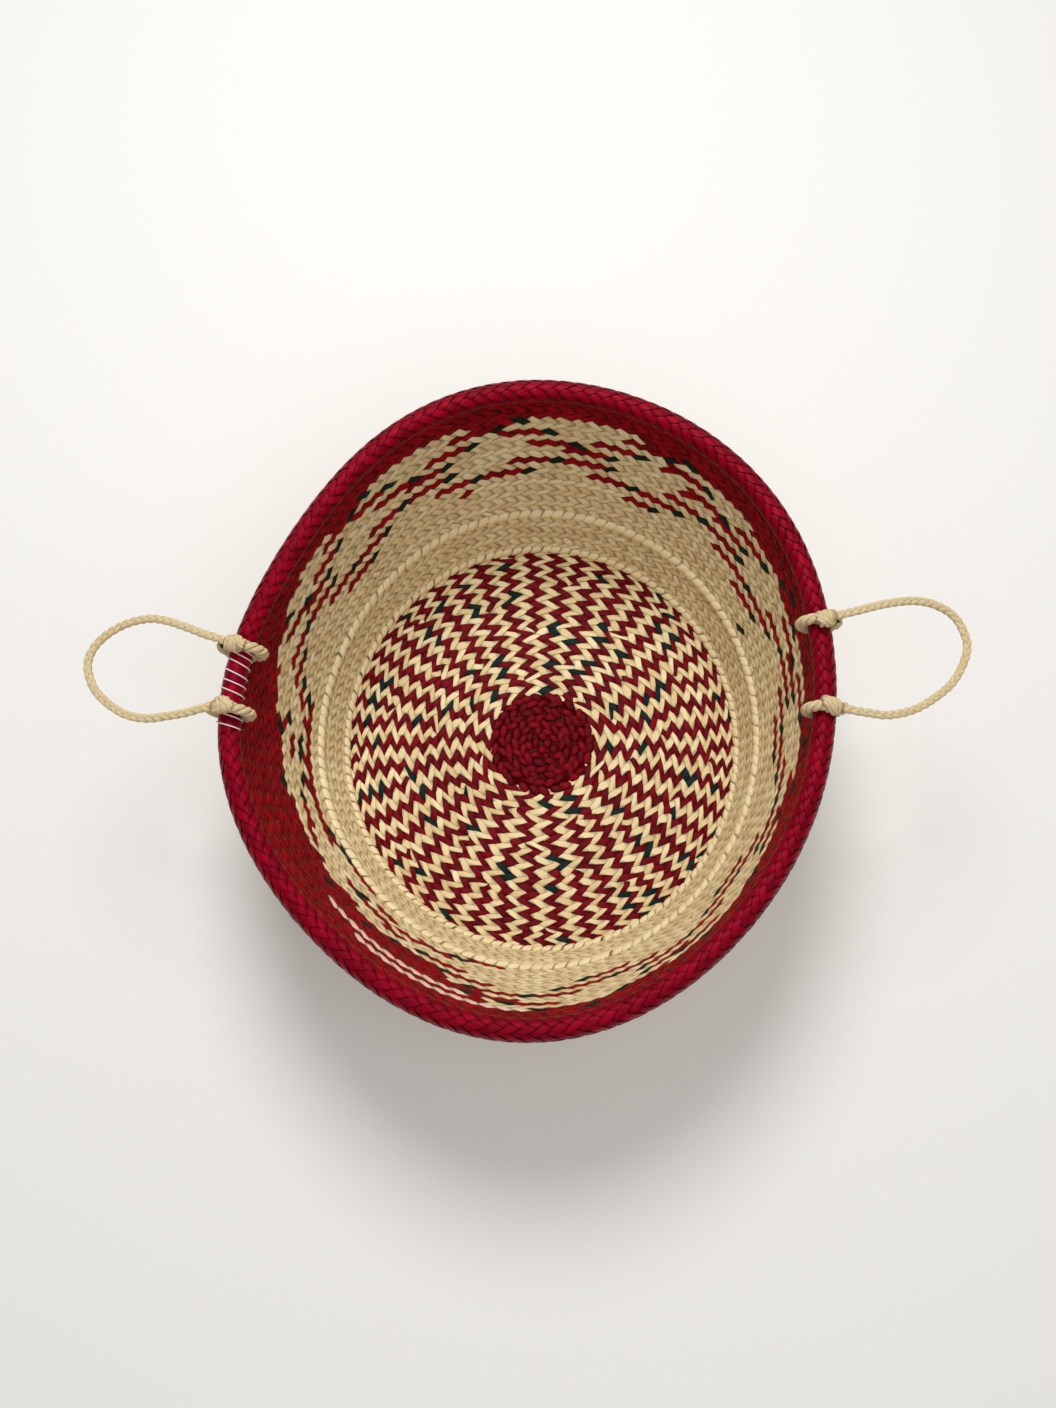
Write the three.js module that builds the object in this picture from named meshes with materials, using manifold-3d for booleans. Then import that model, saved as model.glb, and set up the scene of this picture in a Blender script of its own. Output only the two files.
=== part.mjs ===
import * as THREE from 'three';
import { mergeVertices } from 'three/addons/utils/BufferGeometryUtils.js';
import Module from 'manifold-3d';

// A round palm leaf basket: a flat twill base, a wall that flares to a plaited rim, and two rope
// handles tied round the rim. Millimetres, +Z up, the origin under the middle of the base, +Y to
// the back, and the handles on the left (-X) and right (+X).

const seamGap = 0.3; // between neighbouring pieces
const stripThickness = 2.4; // the twill: two crossing layers of palm strip
const ringSteps = 60; // facets round the basket

// Base
const baseRadius = 144.5; // mean, to the middle of the edge ridge
const baseOval = 3.5; // how much further than that the base reaches to the back and the front
const baseRidgeThickness = 5.2; // the twisted row that turns the base up into the wall
const rosetteRadius = 36.5; // the wound red start of the weave
const rosetteCrown = 0.8; // its rise above the mat at the middle

// Wall, with heights above the table
const rimHeight = 156; // to the middle of the rim
const redDepth = 21; // how far below the middle of the rim the red rows start
const wallBelly = 2; // outward swell half way up
const wallRidgeHeight = 40; // the second twisted row
const wallRidgeThickness = 4.8;
const patternHeight = 69; // where the plain rows end and the coloured dashes start

// Rim
const rimRadius = 191.8; // mean, to the middle line of the plait
const rimThickness = 14;
const coreThickness = 7.2; // the bundle of strip ends that the plait is laid over
const slotGap = 0.5; // from the wall to the plait's lips on each side
// The rim was shaped by hand: each lobe pushes it out by its size towards its direction, in degrees.
const rimLobes = [
  { count: 1, size: 7.4, towards: 190.9 },
  { count: 2, size: 11.3, towards: 76.6 },
  { count: 3, size: 1.1, towards: -52.7 },
  { count: 4, size: 2.2, towards: 8.1 },
  { count: 5, size: 1.5, towards: -27.5 },
];

// Left of the rim, where the plait's two ends meet under a wrap of wide strips and a white lashing
const spliceStart = 170; // degrees round the rim
const spliceEnd = 189;
const wrapThickness = 14.6; // across the wrapped rim
const threadThickness = 0.9;
const threadTurns = 9;
const threadPitch = 6; // along the rim, from turn to turn
const threadSway = 2.2; // how far each turn slants across the top of the rim

// Handles
const eyeRopeThickness = 7; // the doubled rope round the rim
const loopRopeThickness = 5.6; // the braided rope of the loop
const eyeSlack = 0.9; // play of a rope eye round the rim
const eyeHoleGap = 1; // play of the rope in its hole through the wall
const knotDirection = 80; // where the knots sit on the rim, in degrees up from straight out
const knotLength = 14;
const knotWraps = 3;
const knotWaist = 4.9; // radius between two wraps
const knotSwell = 1; // and how much further a wrap stands out
const knotMouth = 3.4; // radius of a knot's two end faces
const eyeEnd = 24; // where the outer leg of an eye ends under the rope, in degrees

const leftHandle = {
  name: 'left',
  overLashing: true, // its eyes go round the lashed wrap, not round the bare plait
  eyes: [{ name: 'back', at: 172.3 }, { name: 'front', at: 184.1 }], // degrees round the rim
  knotYaw: 12,
  // the loop's route from the first knot to the second: straight out, along the rim, up
  route: [
    [24, -24.4, 8.8],
    [36, -27.6, 6.5],
    [49.8, -30.6, 3.4],
    [61.2, -31.2, 0.6],
    [77.2, -26.3, -3.4],
    [89.4, -17.3, -6.6],
    [95.5, -8.1, -8.2],
    [96.5, 1.9, -8.4],
    [89.9, 15.1, -6.8],
    [79.6, 23.9, -4.2],
    [63.6, 31.3, -0.2],
    [49, 32.6, 3.4],
    [36, 29.8, 6.4],
    [24, 26.4, 8.8],
  ],
};
const rightHandle = {
  name: 'right',
  overLashing: false,
  eyes: [{ name: 'front', at: -4.1 }, { name: 'back', at: 14 }],
  knotYaw: 14,
  route: [
    [24, -32.6, 8.8],
    [36.5, -33.8, 6.4],
    [55.2, -29.4, 2.2],
    [71.8, -19.6, -1.9],
    [81.9, -11, -4.5],
    [90.4, 1.6, -7],
    [94.2, 12.3, -8],
    [93.6, 20.1, -7.8],
    [87.4, 32.1, -6],
    [75.2, 39.1, -2.8],
    [61.3, 41, 0.6],
    [42.4, 38.1, 5.2],
    [30, 34.8, 7.6],
    [22, 32.4, 9.2],
  ],
};

const wasm = await Module();
wasm.setup();

const degrees = THREE.MathUtils.degToRad;
const coreRadius = coreThickness / 2;
const rimTube = rimThickness / 2;
const wrapTube = wrapThickness / 2;
const threadRadius = threadThickness / 2;
const threadRing = wrapTube + seamGap + threadRadius;
const footHeight = baseRidgeThickness / 2;
const redHeight = rimHeight - redDepth;

// Outlines

function baseEdge(theta) {
  return baseRadius - baseOval * Math.cos(2 * theta);
}

function rimLine(theta) {
  let radius = rimRadius;
  for (const lobe of rimLobes) {
    radius += lobe.size * Math.cos(lobe.count * (theta - degrees(lobe.towards)));
  }
  return radius;
}

function wallLength(theta) {
  return Math.hypot(rimLine(theta) - baseEdge(theta), rimHeight - footHeight);
}

function wallLean(theta, share) {
  const swell = Math.PI * wallBelly * Math.cos(Math.PI * share);
  return Math.atan2(rimLine(theta) - baseEdge(theta) + swell, rimHeight - footHeight);
}

function shareAt(height) {
  return (height - footHeight) / (rimHeight - footHeight);
}

// A point in the upright plane at theta: radius and height, share of the way up the wall and offset
// outwards from the middle of its thickness.
function wallPoint(theta, share, offset) {
  const low = baseEdge(theta);
  const radius = low + (rimLine(theta) - low) * share + wallBelly * Math.sin(Math.PI * share);
  const height = footHeight + (rimHeight - footHeight) * share;
  const lean = wallLean(theta, share);
  return [radius + offset * Math.cos(lean), height - offset * Math.sin(lean)];
}

// A point round the rim's middle line: angle 0 is away from the wall, 90 degrees is outwards.
function rimPoint(theta, angle, distance) {
  const lean = wallLean(theta, 1);
  const along = distance * Math.cos(angle);
  const across = distance * Math.sin(angle);
  return [
    rimLine(theta) + along * Math.sin(lean) + across * Math.cos(lean),
    rimHeight + along * Math.cos(lean) - across * Math.sin(lean),
  ];
}

function inSpace(theta, [radius, height]) {
  return new THREE.Vector3(radius * Math.cos(theta), radius * Math.sin(theta), height);
}

// Solids

function faced(positions, triangles) {
  let volume = 0;
  for (const [a, b, c] of triangles) {
    volume += positions[a].dot(positions[b].clone().cross(positions[c]));
  }
  const index = triangles.flatMap(([a, b, c]) => (volume > 0 ? [a, b, c] : [a, c, b]));
  const geometry = new THREE.BufferGeometry();
  const numbers = positions.flatMap((point) => point.toArray());
  geometry.setAttribute('position', new THREE.Float32BufferAttribute(numbers, 3));
  geometry.setIndex(index);
  return geometry;
}

// The facets' angles between two directions. They are the same for every piece, so that pieces keep
// their distance also in the middle of a facet.
function facetAngles(from, to) {
  const step = (2 * Math.PI) / ringSteps;
  const angles = [from];
  for (let i = Math.ceil(from / step + 0.01); i * step < to - 0.01 * step; i += 1) angles.push(i * step);
  return [...angles, to];
}

// A solid swept round the basket: section(theta) gives its outline in the upright plane there.
function swept(section, from = 0, to = 2 * Math.PI) {
  const closed = to - from > 2 * Math.PI - 1e-6;
  const angles = facetAngles(from, to);
  const steps = angles.length - 1;
  const rings = closed ? steps : steps + 1;
  const size = section(from).length;
  const positions = [];
  const triangles = [];
  for (const theta of angles.slice(0, rings)) {
    positions.push(...section(theta).map((corner) => inSpace(theta, corner)));
  }
  for (let ring = 0; ring < steps; ring += 1) {
    const here = ring * size;
    const next = ((ring + 1) % rings) * size;
    for (let side = 0; side < size; side += 1) {
      const other = (side + 1) % size;
      triangles.push([here + side, here + other, next + side]);
      triangles.push([here + other, next + other, next + side]);
    }
  }
  if (!closed) {
    const outline = section(from).map(([x, y]) => new THREE.Vector2(x, y));
    const last = (rings - 1) * size;
    const flat = (a, b, c) => outline[b].clone().sub(outline[a]).cross(outline[c].clone().sub(outline[a]));
    const turning = THREE.ShapeUtils.isClockWise(outline) ? -1 : 1;
    for (const [a, b, c] of THREE.ShapeUtils.triangulateShape(outline, [])) {
      const [p, q] = flat(a, b, c) * turning > 0 ? [b, c] : [c, b];
      triangles.push([a, q, p], [last + a, last + p, last + q]);
    }
  }
  return faced(positions, triangles);
}

// A tube through many points, for what is wound.
function windingTube(points, radius, sides) {
  const positions = [];
  const triangles = [];
  const last = points.length - 1;
  let normal = new THREE.Vector3(0, 0, 1);
  points.forEach((point, i) => {
    const ahead = points[Math.min(i + 1, last)].clone();
    const tangent = ahead.sub(points[Math.max(i - 1, 0)]).normalize();
    normal = normal.clone().addScaledVector(tangent, -normal.dot(tangent)).normalize();
    const side = tangent.clone().cross(normal);
    for (let k = 0; k < sides; k += 1) {
      const turn = (2 * Math.PI * k) / sides;
      const corner = point.clone().addScaledVector(normal, radius * Math.cos(turn));
      positions.push(corner.addScaledVector(side, radius * Math.sin(turn)));
    }
  });
  for (let i = 0; i < last; i += 1) {
    for (let k = 0; k < sides; k += 1) {
      const a = i * sides + k;
      const b = i * sides + ((k + 1) % sides);
      triangles.push([a, b, a + sides], [b, b + sides, a + sides]);
    }
  }
  for (let k = 1; k < sides - 1; k += 1) {
    triangles.push([0, k + 1, k]);
    triangles.push([last * sides, last * sides + k, last * sides + k + 1]);
  }
  return faced(positions, triangles);
}

function ropeTube(path, thickness, sides, steps) {
  const section = new THREE.Shape();
  for (let k = 0; k < sides; k += 1) {
    const turn = (2 * Math.PI * k) / sides;
    const corner = [(thickness / 2) * Math.cos(turn), (thickness / 2) * Math.sin(turn)];
    if (k === 0) section.moveTo(...corner);
    else section.lineTo(...corner);
  }
  section.closePath();
  return new THREE.ExtrudeGeometry(section, { steps, extrudePath: path });
}

function solid(geometry) {
  const bare = geometry.clone();
  bare.deleteAttribute('normal');
  bare.deleteAttribute('uv');
  const merged = mergeVertices(bare, 1e-4);
  return new wasm.Manifold(new wasm.Mesh({
    numProp: 3,
    vertProperties: new Float32Array(merged.attributes.position.array),
    triVerts: new Uint32Array(merged.index.array),
  }));
}

function cut(geometry, ...cutters) {
  let result = solid(geometry);
  for (const cutter of cutters) result = result.subtract(solid(cutter));
  const mesh = result.getMesh();
  const shape = new THREE.BufferGeometry();
  shape.setAttribute('position', new THREE.BufferAttribute(mesh.vertProperties, 3));
  shape.setIndex(new THREE.BufferAttribute(mesh.triVerts, 1));
  return shape;
}

const finishes = {
  straw: new THREE.MeshStandardMaterial({ color: 0xd6b67c, roughness: 0.6, metalness: 0 }),
  crimson: new THREE.MeshStandardMaterial({ color: 0x9b0a1e, roughness: 0.4, metalness: 0 }),
  mixed: new THREE.MeshStandardMaterial({ color: 0xa0604a, roughness: 0.55, metalness: 0 }),
  rope: new THREE.MeshStandardMaterial({ color: 0xdcb476, roughness: 0.7, metalness: 0 }),
  thread: new THREE.MeshStandardMaterial({ color: 0xf0dcdc, roughness: 0.6, metalness: 0 }),
};

function piece(name, geometry, finish) {
  const mesh = new THREE.Mesh(geometry, finish.clone());
  mesh.name = name;
  return mesh;
}

// Base

function baseMat() {
  const inside = rosetteRadius + seamGap;
  return swept((theta) => {
    const edge = baseEdge(theta) - baseRidgeThickness / 2 / Math.cos(Math.PI / 6) - seamGap;
    return [[inside, 0], [edge, 0], [edge, stripThickness], [inside, stripThickness]];
  });
}

function startRosette() {
  const profile = [
    [0, 0],
    [rosetteRadius, 0],
    [rosetteRadius, stripThickness],
    [rosetteRadius * 0.6, stripThickness + rosetteCrown * 0.7],
    [0, stripThickness + rosetteCrown],
  ];
  const disc = new THREE.LatheGeometry(profile.map(([x, y]) => new THREE.Vector2(x, y)), ringSteps);
  return disc.rotateX(Math.PI / 2);
}

// A twisted row. Its flats face the bands above and below it, so they lean with the wall or lie flat.
function ridge(share, thickness, lean) {
  const corners = 6;
  const reach = thickness / 2 / Math.cos(Math.PI / corners);
  return swept((theta) => {
    const [radius, height] = wallPoint(theta, share, 0);
    const outline = [];
    for (let k = 0; k < corners; k += 1) {
      const turn = (2 * Math.PI * k) / corners - lean(theta);
      outline.push([radius + reach * Math.cos(turn), height + reach * Math.sin(turn)]);
    }
    return outline;
  });
}

// Wall: each band runs between two levels, low and high, given as shares of the way up at theta.

function band(low, high) {
  const half = stripThickness / 2;
  return swept((theta) => {
    const levels = [low(theta), high(theta)];
    const outer = levels.map((share) => wallPoint(theta, share, half));
    const inner = levels.map((share) => wallPoint(theta, share, -half));
    return [...outer, ...inner.reverse()];
  });
}

const above = (share, distance) => (theta) => share + distance / wallLength(theta);
const below = (share, distance) => (theta) => share - distance / wallLength(theta);
const aboveBaseRidge = (theta) => {
  const lean = wallLean(theta, 0);
  const height = footHeight + seamGap + (stripThickness / 2) * Math.sin(lean);
  return height / Math.cos(lean) / wallLength(theta);
};
const wallRidgeEdge = wallRidgeThickness / 2 + seamGap;
const wallRidgeShare = shareAt(wallRidgeHeight);

// Rim

function roundSection(radius, sides) {
  return (theta) => {
    const outline = [];
    for (let k = 0; k < sides; k += 1) {
      outline.push(rimPoint(theta, (2 * Math.PI * (k + 0.5)) / sides, radius));
    }
    return outline;
  };
}

// The plait is open underneath, where the wall stands in it.
function plaitSection(theta) {
  const outerSteps = 9;
  const innerSteps = 6;
  const inside = (coreRadius + seamGap) / Math.cos(Math.PI / innerSteps);
  const slot = stripThickness / 2 + slotGap;
  const outerEnd = Math.PI - Math.asin(slot / rimTube);
  const innerEnd = Math.PI - Math.asin(slot / inside);
  const outline = [];
  for (let k = 0; k <= outerSteps; k += 1) {
    outline.push(rimPoint(theta, outerEnd * ((2 * k) / outerSteps - 1), rimTube));
  }
  for (let k = innerSteps; k >= 0; k -= 1) {
    outline.push(rimPoint(theta, innerEnd * ((2 * k) / innerSteps - 1), inside));
  }
  return outline;
}

const spliceSeam = seamGap / rimRadius; // as an angle

function rimBraid() {
  const from = degrees(spliceEnd) + spliceSeam;
  const to = degrees(spliceStart) - spliceSeam + 2 * Math.PI;
  return swept(plaitSection, from, to);
}

function spliceTube(radius, reach, sides) {
  return swept(roundSection(radius, sides), degrees(spliceStart) - reach, degrees(spliceEnd) + reach);
}

function spliceWrap() {
  const bore = spliceTube((coreRadius + seamGap) / Math.cos(Math.PI / 10), 2 * spliceSeam, 10);
  return cut(spliceTube(wrapTube, 0, 12), bore);
}

// One unbroken winding: it slants across the top of the rim and runs straight back below it.
function threadPoints() {
  const steps = 24 * threadTurns;
  const middle = degrees((spliceStart + spliceEnd) / 2);
  const start = middle - (threadTurns * threadPitch) / 2 / rimLine(middle);
  const points = [];
  for (let i = 0; i <= steps; i += 1) {
    const turn = (2 * Math.PI * threadTurns * i) / steps + Math.PI / 2;
    const along = (threadPitch * threadTurns * i) / steps + threadSway * Math.sin(turn);
    const theta = start + along / rimLine(middle);
    points.push(inSpace(theta, rimPoint(theta, -turn, threadRing)));
  }
  const ends = [[points[0], points[1]], [points[steps], points[steps - 1]]];
  const [first, last] = ends.map(([end, next]) => {
    const out = end.clone().sub(next).normalize();
    return end.clone().addScaledVector(out, threadThickness);
  });
  return [first, ...points, last];
}

function leastGap(points, thickness) {
  const apart = 12; // steps: half a turn
  let least = Infinity;
  for (let i = 0; i < points.length; i += 1) {
    for (let j = i + apart; j < points.length; j += 1) {
      least = Math.min(least, points[i].distanceTo(points[j]) - thickness);
    }
  }
  return least;
}

// Handles. Each is built in a frame on the hinge line through its two eyes: x straight out from the
// basket, y from the first eye to the second and z up.

const sides = [-1, 1];

function handleFrame(handle) {
  const [first, second] = handle.eyes.map((eye) => {
    const theta = degrees(eye.at);
    return inSpace(theta, [rimLine(theta), rimHeight]);
  });
  const middle = first.clone().add(second).divideScalar(2);
  const chord = second.clone().sub(first);
  return { middle, facing: Math.atan2(-chord.x, chord.y), reach: chord.length() / 2 };
}

function seatRadius(handle) {
  const around = handle.overLashing ? threadRing + threadRadius : rimTube;
  return around + eyeSlack;
}

function knotProfile(extra) {
  const end = knotLength / 2 + extra;
  const profile = [[0, -end], [knotMouth + extra, -end]];
  const stepsPerWrap = 4;
  const steps = knotWraps * stepsPerWrap;
  for (let i = 1; i < steps; i += 1) {
    const swell = knotSwell * Math.abs(Math.sin((Math.PI * i) / stepsPerWrap));
    profile.push([knotWaist + swell + extra, end * ((2 * i) / steps - 1)]);
  }
  profile.push([knotMouth + extra, end], [0, end]);
  return profile.map(([x, y]) => new THREE.Vector2(x, y));
}

function knotPose(handle, frame, side) {
  const ring = seatRadius(handle) + eyeRopeThickness / 2;
  const up = degrees(knotDirection);
  const centre = new THREE.Vector3(ring * Math.cos(up), side * frame.reach, ring * Math.sin(up));
  const turn = new THREE.Matrix4().makeRotationZ(side * degrees(handle.knotYaw));
  turn.multiply(new THREE.Matrix4().makeRotationY(Math.PI / 2 - up));
  const out = new THREE.Vector3(1, 0, 0).applyMatrix4(turn);
  return { ring, centre, turn, out };
}

function knotShape(pose, extra) {
  const shape = new THREE.LatheGeometry(knotProfile(extra), 12);
  shape.rotateZ(-Math.PI / 2);
  shape.applyMatrix4(pose.turn);
  return shape.translate(...pose.centre.toArray());
}

class EyeArc extends THREE.Curve {
  constructor(ring, offset, from, to) {
    super();
    Object.assign(this, { ring, offset, from, to });
  }

  getPoint(share, target = new THREE.Vector3()) {
    const angle = this.from + (this.to - this.from) * share;
    return target.set(this.ring * Math.cos(angle), this.offset, this.ring * Math.sin(angle));
  }
}

function eyeShape(pose, frame, side) {
  const arc = new EyeArc(pose.ring, side * frame.reach, degrees(knotDirection), degrees(360 + eyeEnd));
  return cut(ropeTube(arc, eyeRopeThickness, 8, 18), knotShape(pose, seamGap));
}

function seatCutter(handle, frame, side) {
  const seat = new THREE.CylinderGeometry(seatRadius(handle), seatRadius(handle), 2 * knotLength, 32);
  return seat.translate(0, side * frame.reach, 0);
}

// What the wall leaves free for an eye: the whole ring that it turns through.
function eyeHole(handle, side) {
  const frame = handleFrame(handle);
  const ring = seatRadius(handle) + eyeRopeThickness / 2;
  const hole = new THREE.TorusGeometry(ring, eyeRopeThickness / 2 + eyeHoleGap, 12, 40);
  hole.rotateX(Math.PI / 2);
  hole.translate(0, side * frame.reach, 0);
  hole.rotateZ(frame.facing);
  return hole.translate(...frame.middle.toArray());
}

function loopPath(handle, poses) {
  const [first, second] = poses;
  const mouth = knotLength / 2 + seamGap;
  const leave = mouth + loopRopeThickness;
  const from = (pose, distance) => pose.centre.clone().addScaledVector(pose.out, distance);
  return new THREE.CatmullRomCurve3([
    from(first, mouth),
    from(first, leave),
    ...handle.route.map((point) => new THREE.Vector3(...point)),
    from(second, leave),
    from(second, mouth),
  ], false, 'centripetal');
}

function handleGroup(handle) {
  const frame = handleFrame(handle);
  const group = new THREE.Group();
  group.position.copy(frame.middle);
  group.rotation.z = frame.facing;
  const poses = sides.map((side) => knotPose(handle, frame, side));
  sides.forEach((side, i) => {
    const seat = seatCutter(handle, frame, side);
    const name = `${handle.name}_${handle.eyes[i].name}`;
    group.add(piece(`${name}_knot`, cut(knotShape(poses[i], 0), seat), finishes.rope));
    group.add(piece(`${name}_eye`, eyeShape(poses[i], frame, side), finishes.rope));
  });
  const path = loopPath(handle, poses);
  group.add(piece(`${handle.name}_handle_rope`, ropeTube(path, loopRopeThickness, 8, 44), finishes.rope));
  console.log(`${handle.name} handle rope: ${path.getLength().toFixed(1)} mm between its knots`);
  return group;
}

// The basket

const basket = new THREE.Group();
basket.add(piece('base_mat', baseMat(), finishes.mixed));
basket.add(piece('start_rosette', startRosette(), finishes.crimson));
basket.add(piece('base_ridge', ridge(0, baseRidgeThickness, () => 0), finishes.straw));
const wallRidgeLean = (theta) => wallLean(theta, wallRidgeShare);
basket.add(piece('wall_ridge', ridge(wallRidgeShare, wallRidgeThickness, wallRidgeLean), finishes.straw));

const lowerBand = band(aboveBaseRidge, below(wallRidgeShare, wallRidgeEdge));
const middleBand = band(above(wallRidgeShare, wallRidgeEdge), below(shareAt(patternHeight), seamGap / 2));
basket.add(piece('lower_wall_band', lowerBand, finishes.straw));
basket.add(piece('middle_wall_band', middleBand, finishes.straw));

const holes = [leftHandle, rightHandle].flatMap((handle) => sides.map((side) => eyeHole(handle, side)));
const wrapClearance = spliceTube(threadRing + threadRadius + seamGap, spliceSeam, 12);
const patternBand = band(above(shareAt(patternHeight), seamGap / 2), below(shareAt(redHeight), seamGap / 2));
const redBand = band(above(shareAt(redHeight), seamGap / 2), below(1, coreRadius + seamGap));
basket.add(piece('pattern_band', cut(patternBand, ...holes), finishes.mixed));
basket.add(piece('red_band', cut(redBand, wrapClearance, ...holes), finishes.crimson));

basket.add(piece('rim_core', swept(roundSection(coreRadius, 6)), finishes.straw));
basket.add(piece('rim_braid', rimBraid(), finishes.crimson));
basket.add(piece('rim_splice_wrap', spliceWrap(), finishes.crimson));

const lashing = threadPoints();
basket.add(piece('lashing_thread', windingTube(lashing, threadRadius, 6), finishes.thread));
console.log(`lashing thread: least gap to itself ${leastGap(lashing, threadThickness).toFixed(2)} mm`);

basket.add(handleGroup(leftHandle));
basket.add(handleGroup(rightHandle));

export default basket;
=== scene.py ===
import bpy
import numpy as np
from numpy import cos, pi, radians, sin
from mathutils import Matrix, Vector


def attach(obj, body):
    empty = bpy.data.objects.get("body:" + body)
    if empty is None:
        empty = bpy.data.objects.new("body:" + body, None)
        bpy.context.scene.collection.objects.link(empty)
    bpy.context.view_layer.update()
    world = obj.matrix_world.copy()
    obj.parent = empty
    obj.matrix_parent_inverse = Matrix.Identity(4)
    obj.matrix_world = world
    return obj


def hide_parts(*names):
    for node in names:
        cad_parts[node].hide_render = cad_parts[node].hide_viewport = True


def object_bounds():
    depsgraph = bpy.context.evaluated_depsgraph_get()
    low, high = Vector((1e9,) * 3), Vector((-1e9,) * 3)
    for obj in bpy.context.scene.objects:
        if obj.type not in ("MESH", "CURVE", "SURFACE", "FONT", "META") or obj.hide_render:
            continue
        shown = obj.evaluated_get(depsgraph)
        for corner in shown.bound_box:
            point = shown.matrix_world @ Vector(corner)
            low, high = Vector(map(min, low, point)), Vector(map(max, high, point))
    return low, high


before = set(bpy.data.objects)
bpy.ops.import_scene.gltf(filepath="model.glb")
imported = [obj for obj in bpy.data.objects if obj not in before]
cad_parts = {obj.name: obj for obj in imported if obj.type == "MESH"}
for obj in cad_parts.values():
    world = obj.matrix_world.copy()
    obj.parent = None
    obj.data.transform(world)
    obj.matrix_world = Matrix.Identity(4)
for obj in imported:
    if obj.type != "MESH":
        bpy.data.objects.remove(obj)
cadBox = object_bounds()

# The basket's own outlines, in metres, as the model has them

basket = {
    "baseRadius": 0.1445,  # to the middle of the base ridge
    "baseOval": 0.0035,
    "footHeight": 0.0026,
    "rosetteRadius": 0.0365,
    "rimHeight": 0.156,
    "rimRadius": 0.1918,
    "belly": 0.002,
    # the rim's waves: how many go round, their size, and which way they push it, in degrees
    "lobes": [(1, 0.0074, 190.9), (2, 0.0113, 76.6), (3, 0.0011, -52.7), (4, 0.0022, 8.1),
              (5, 0.0015, -27.5)],
}


def baseEdge(theta):
    return basket["baseRadius"] - basket["baseOval"] * cos(2 * theta)


def rimLine(theta):
    radius = basket["rimRadius"]
    for count, size, towards in basket["lobes"]:
        radius = radius + size * cos(count * (theta - radians(towards)))
    return radius


def around(theta, radius, height):
    return np.stack([radius * cos(theta), radius * sin(theta), height + 0 * theta], axis=-1)


def wallLean(theta, share):
    rise = basket["rimHeight"] - basket["footHeight"]
    swell = pi * basket["belly"] * cos(pi * share)
    return np.arctan2(rimLine(theta) - baseEdge(theta) + swell, rise)


def wallPoint(theta, share, inwards):
    low, lean = baseEdge(theta), wallLean(theta, share)
    radius = low + (rimLine(theta) - low) * share + basket["belly"] * sin(pi * share)
    height = basket["footHeight"] + (basket["rimHeight"] - basket["footHeight"]) * share
    return around(theta, radius - inwards * cos(lean), height + inwards * sin(lean))


def rimPoint(theta, angle, distance):  # angle 0 is away from the wall, a quarter turn is outwards
    lean = wallLean(theta, 1)
    along, across = distance * cos(angle), distance * sin(angle)
    radius = rimLine(theta) + along * sin(lean) + across * cos(lean)
    return around(theta, radius, basket["rimHeight"] + along * cos(lean) - across * sin(lean))


# Meshes from rings of points: each strip, strand or tube is a closed body

# rings holds points (ring, side, xyz), and follow the ring that comes after each one, or -1.
def ringMesh(name, rings, follow, values=None, along=None, corners=(), paintedLitShare=None):
    count, sides = rings.shape[:2]
    starts = np.nonzero(follow >= 0)[0]
    side = np.arange(sides)
    after = (side + 1) % sides
    here, there = starts[:, None] * sides, follow[starts][:, None] * sides
    walls = np.stack([here + side, here + after, there + after, there + side], axis=-1).reshape(-1, 4)
    followed = np.zeros(count, bool)
    followed[follow[starts]] = True
    fan = np.array([[0, 2 * k + 1, 2 * k + 2, 2 * k + 3] for k in range((sides - 2) // 2)])
    first = starts[~followed[starts]]
    last = np.nonzero((follow < 0) & followed)[0]
    lids = np.concatenate([
        (first[:, None, None] * sides + fan[None, :, ::-1]).reshape(-1, 4),
        (last[:, None, None] * sides + fan[None]).reshape(-1, 4),
    ])
    quads = np.concatenate([walls, lids])
    ringOf = np.concatenate([np.repeat(starts, sides), np.repeat(first, len(fan)), np.repeat(last, len(fan))])
    points = rings.reshape(-1, 3)

    run = np.zeros(count, int)  # which body each ring belongs to, to turn each one's faces outwards
    run[1:] = np.cumsum(follow[:-1] != np.arange(1, count))
    centre = np.zeros((run.max() + 1, 3))
    np.add.at(centre, run, rings.mean(axis=1))
    centre /= np.bincount(run)[:, None]
    corner = points[quads] - centre[run[ringOf]][:, None]
    volume = np.einsum("ij,ij->i", corner[:, 0], np.cross(corner[:, 1], corner[:, 2]))
    volume += np.einsum("ij,ij->i", corner[:, 0], np.cross(corner[:, 2], corner[:, 3]))
    total = np.bincount(run[ringOf], weights=volume)
    turned = total[run[ringOf]] < 0
    quads[turned] = quads[turned][:, ::-1]

    mesh = bpy.data.meshes.new(name)
    mesh.from_pydata(points.tolist(), [], quads.tolist())
    for key, value in (values or {}).items():
        mesh.attributes.new(key, "FLOAT", "FACE").data.foreach_set("value", value[ringOf].astype(np.float32))
    ringAlong = np.zeros(count) if along is None else along
    sideOf, ringHere = quads % sides, quads // sides
    across = sideOf / sides
    across[(sideOf == 0) & (sideOf.max(axis=1) == sides - 1)[:, None]] = 1.0
    uv = np.stack([ringAlong[ringHere], across], axis=-1).reshape(-1, 2)
    mesh.uv_layers.new(name="strip").data.foreach_set("uv", uv.astype(np.float32).ravel())
    if paintedLitShare is not None:  # 0 down in a crevice, 1 in the open: the materials paint shade where this is low
        paintedLitShare = np.broadcast_to(paintedLitShare, (count, sides)).ravel().astype(np.float32)
        mesh.attributes.new("paintedLitShare", "FLOAT", "POINT").data.foreach_set("value", paintedLitShare)
    mesh.shade_smooth()
    if len(corners):
        ends = np.zeros(len(mesh.edges) * 2, int)
        mesh.edges.foreach_get("vertices", ends)
        ends = ends.reshape(-1, 2)
        sharp = (ends[:, 0] % sides == ends[:, 1] % sides) & np.isin(ends[:, 0] % sides, corners)
        mesh.attributes.new("sharp_edge", "BOOLEAN", "EDGE").data.foreach_set("value", sharp)
    return mesh


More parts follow.
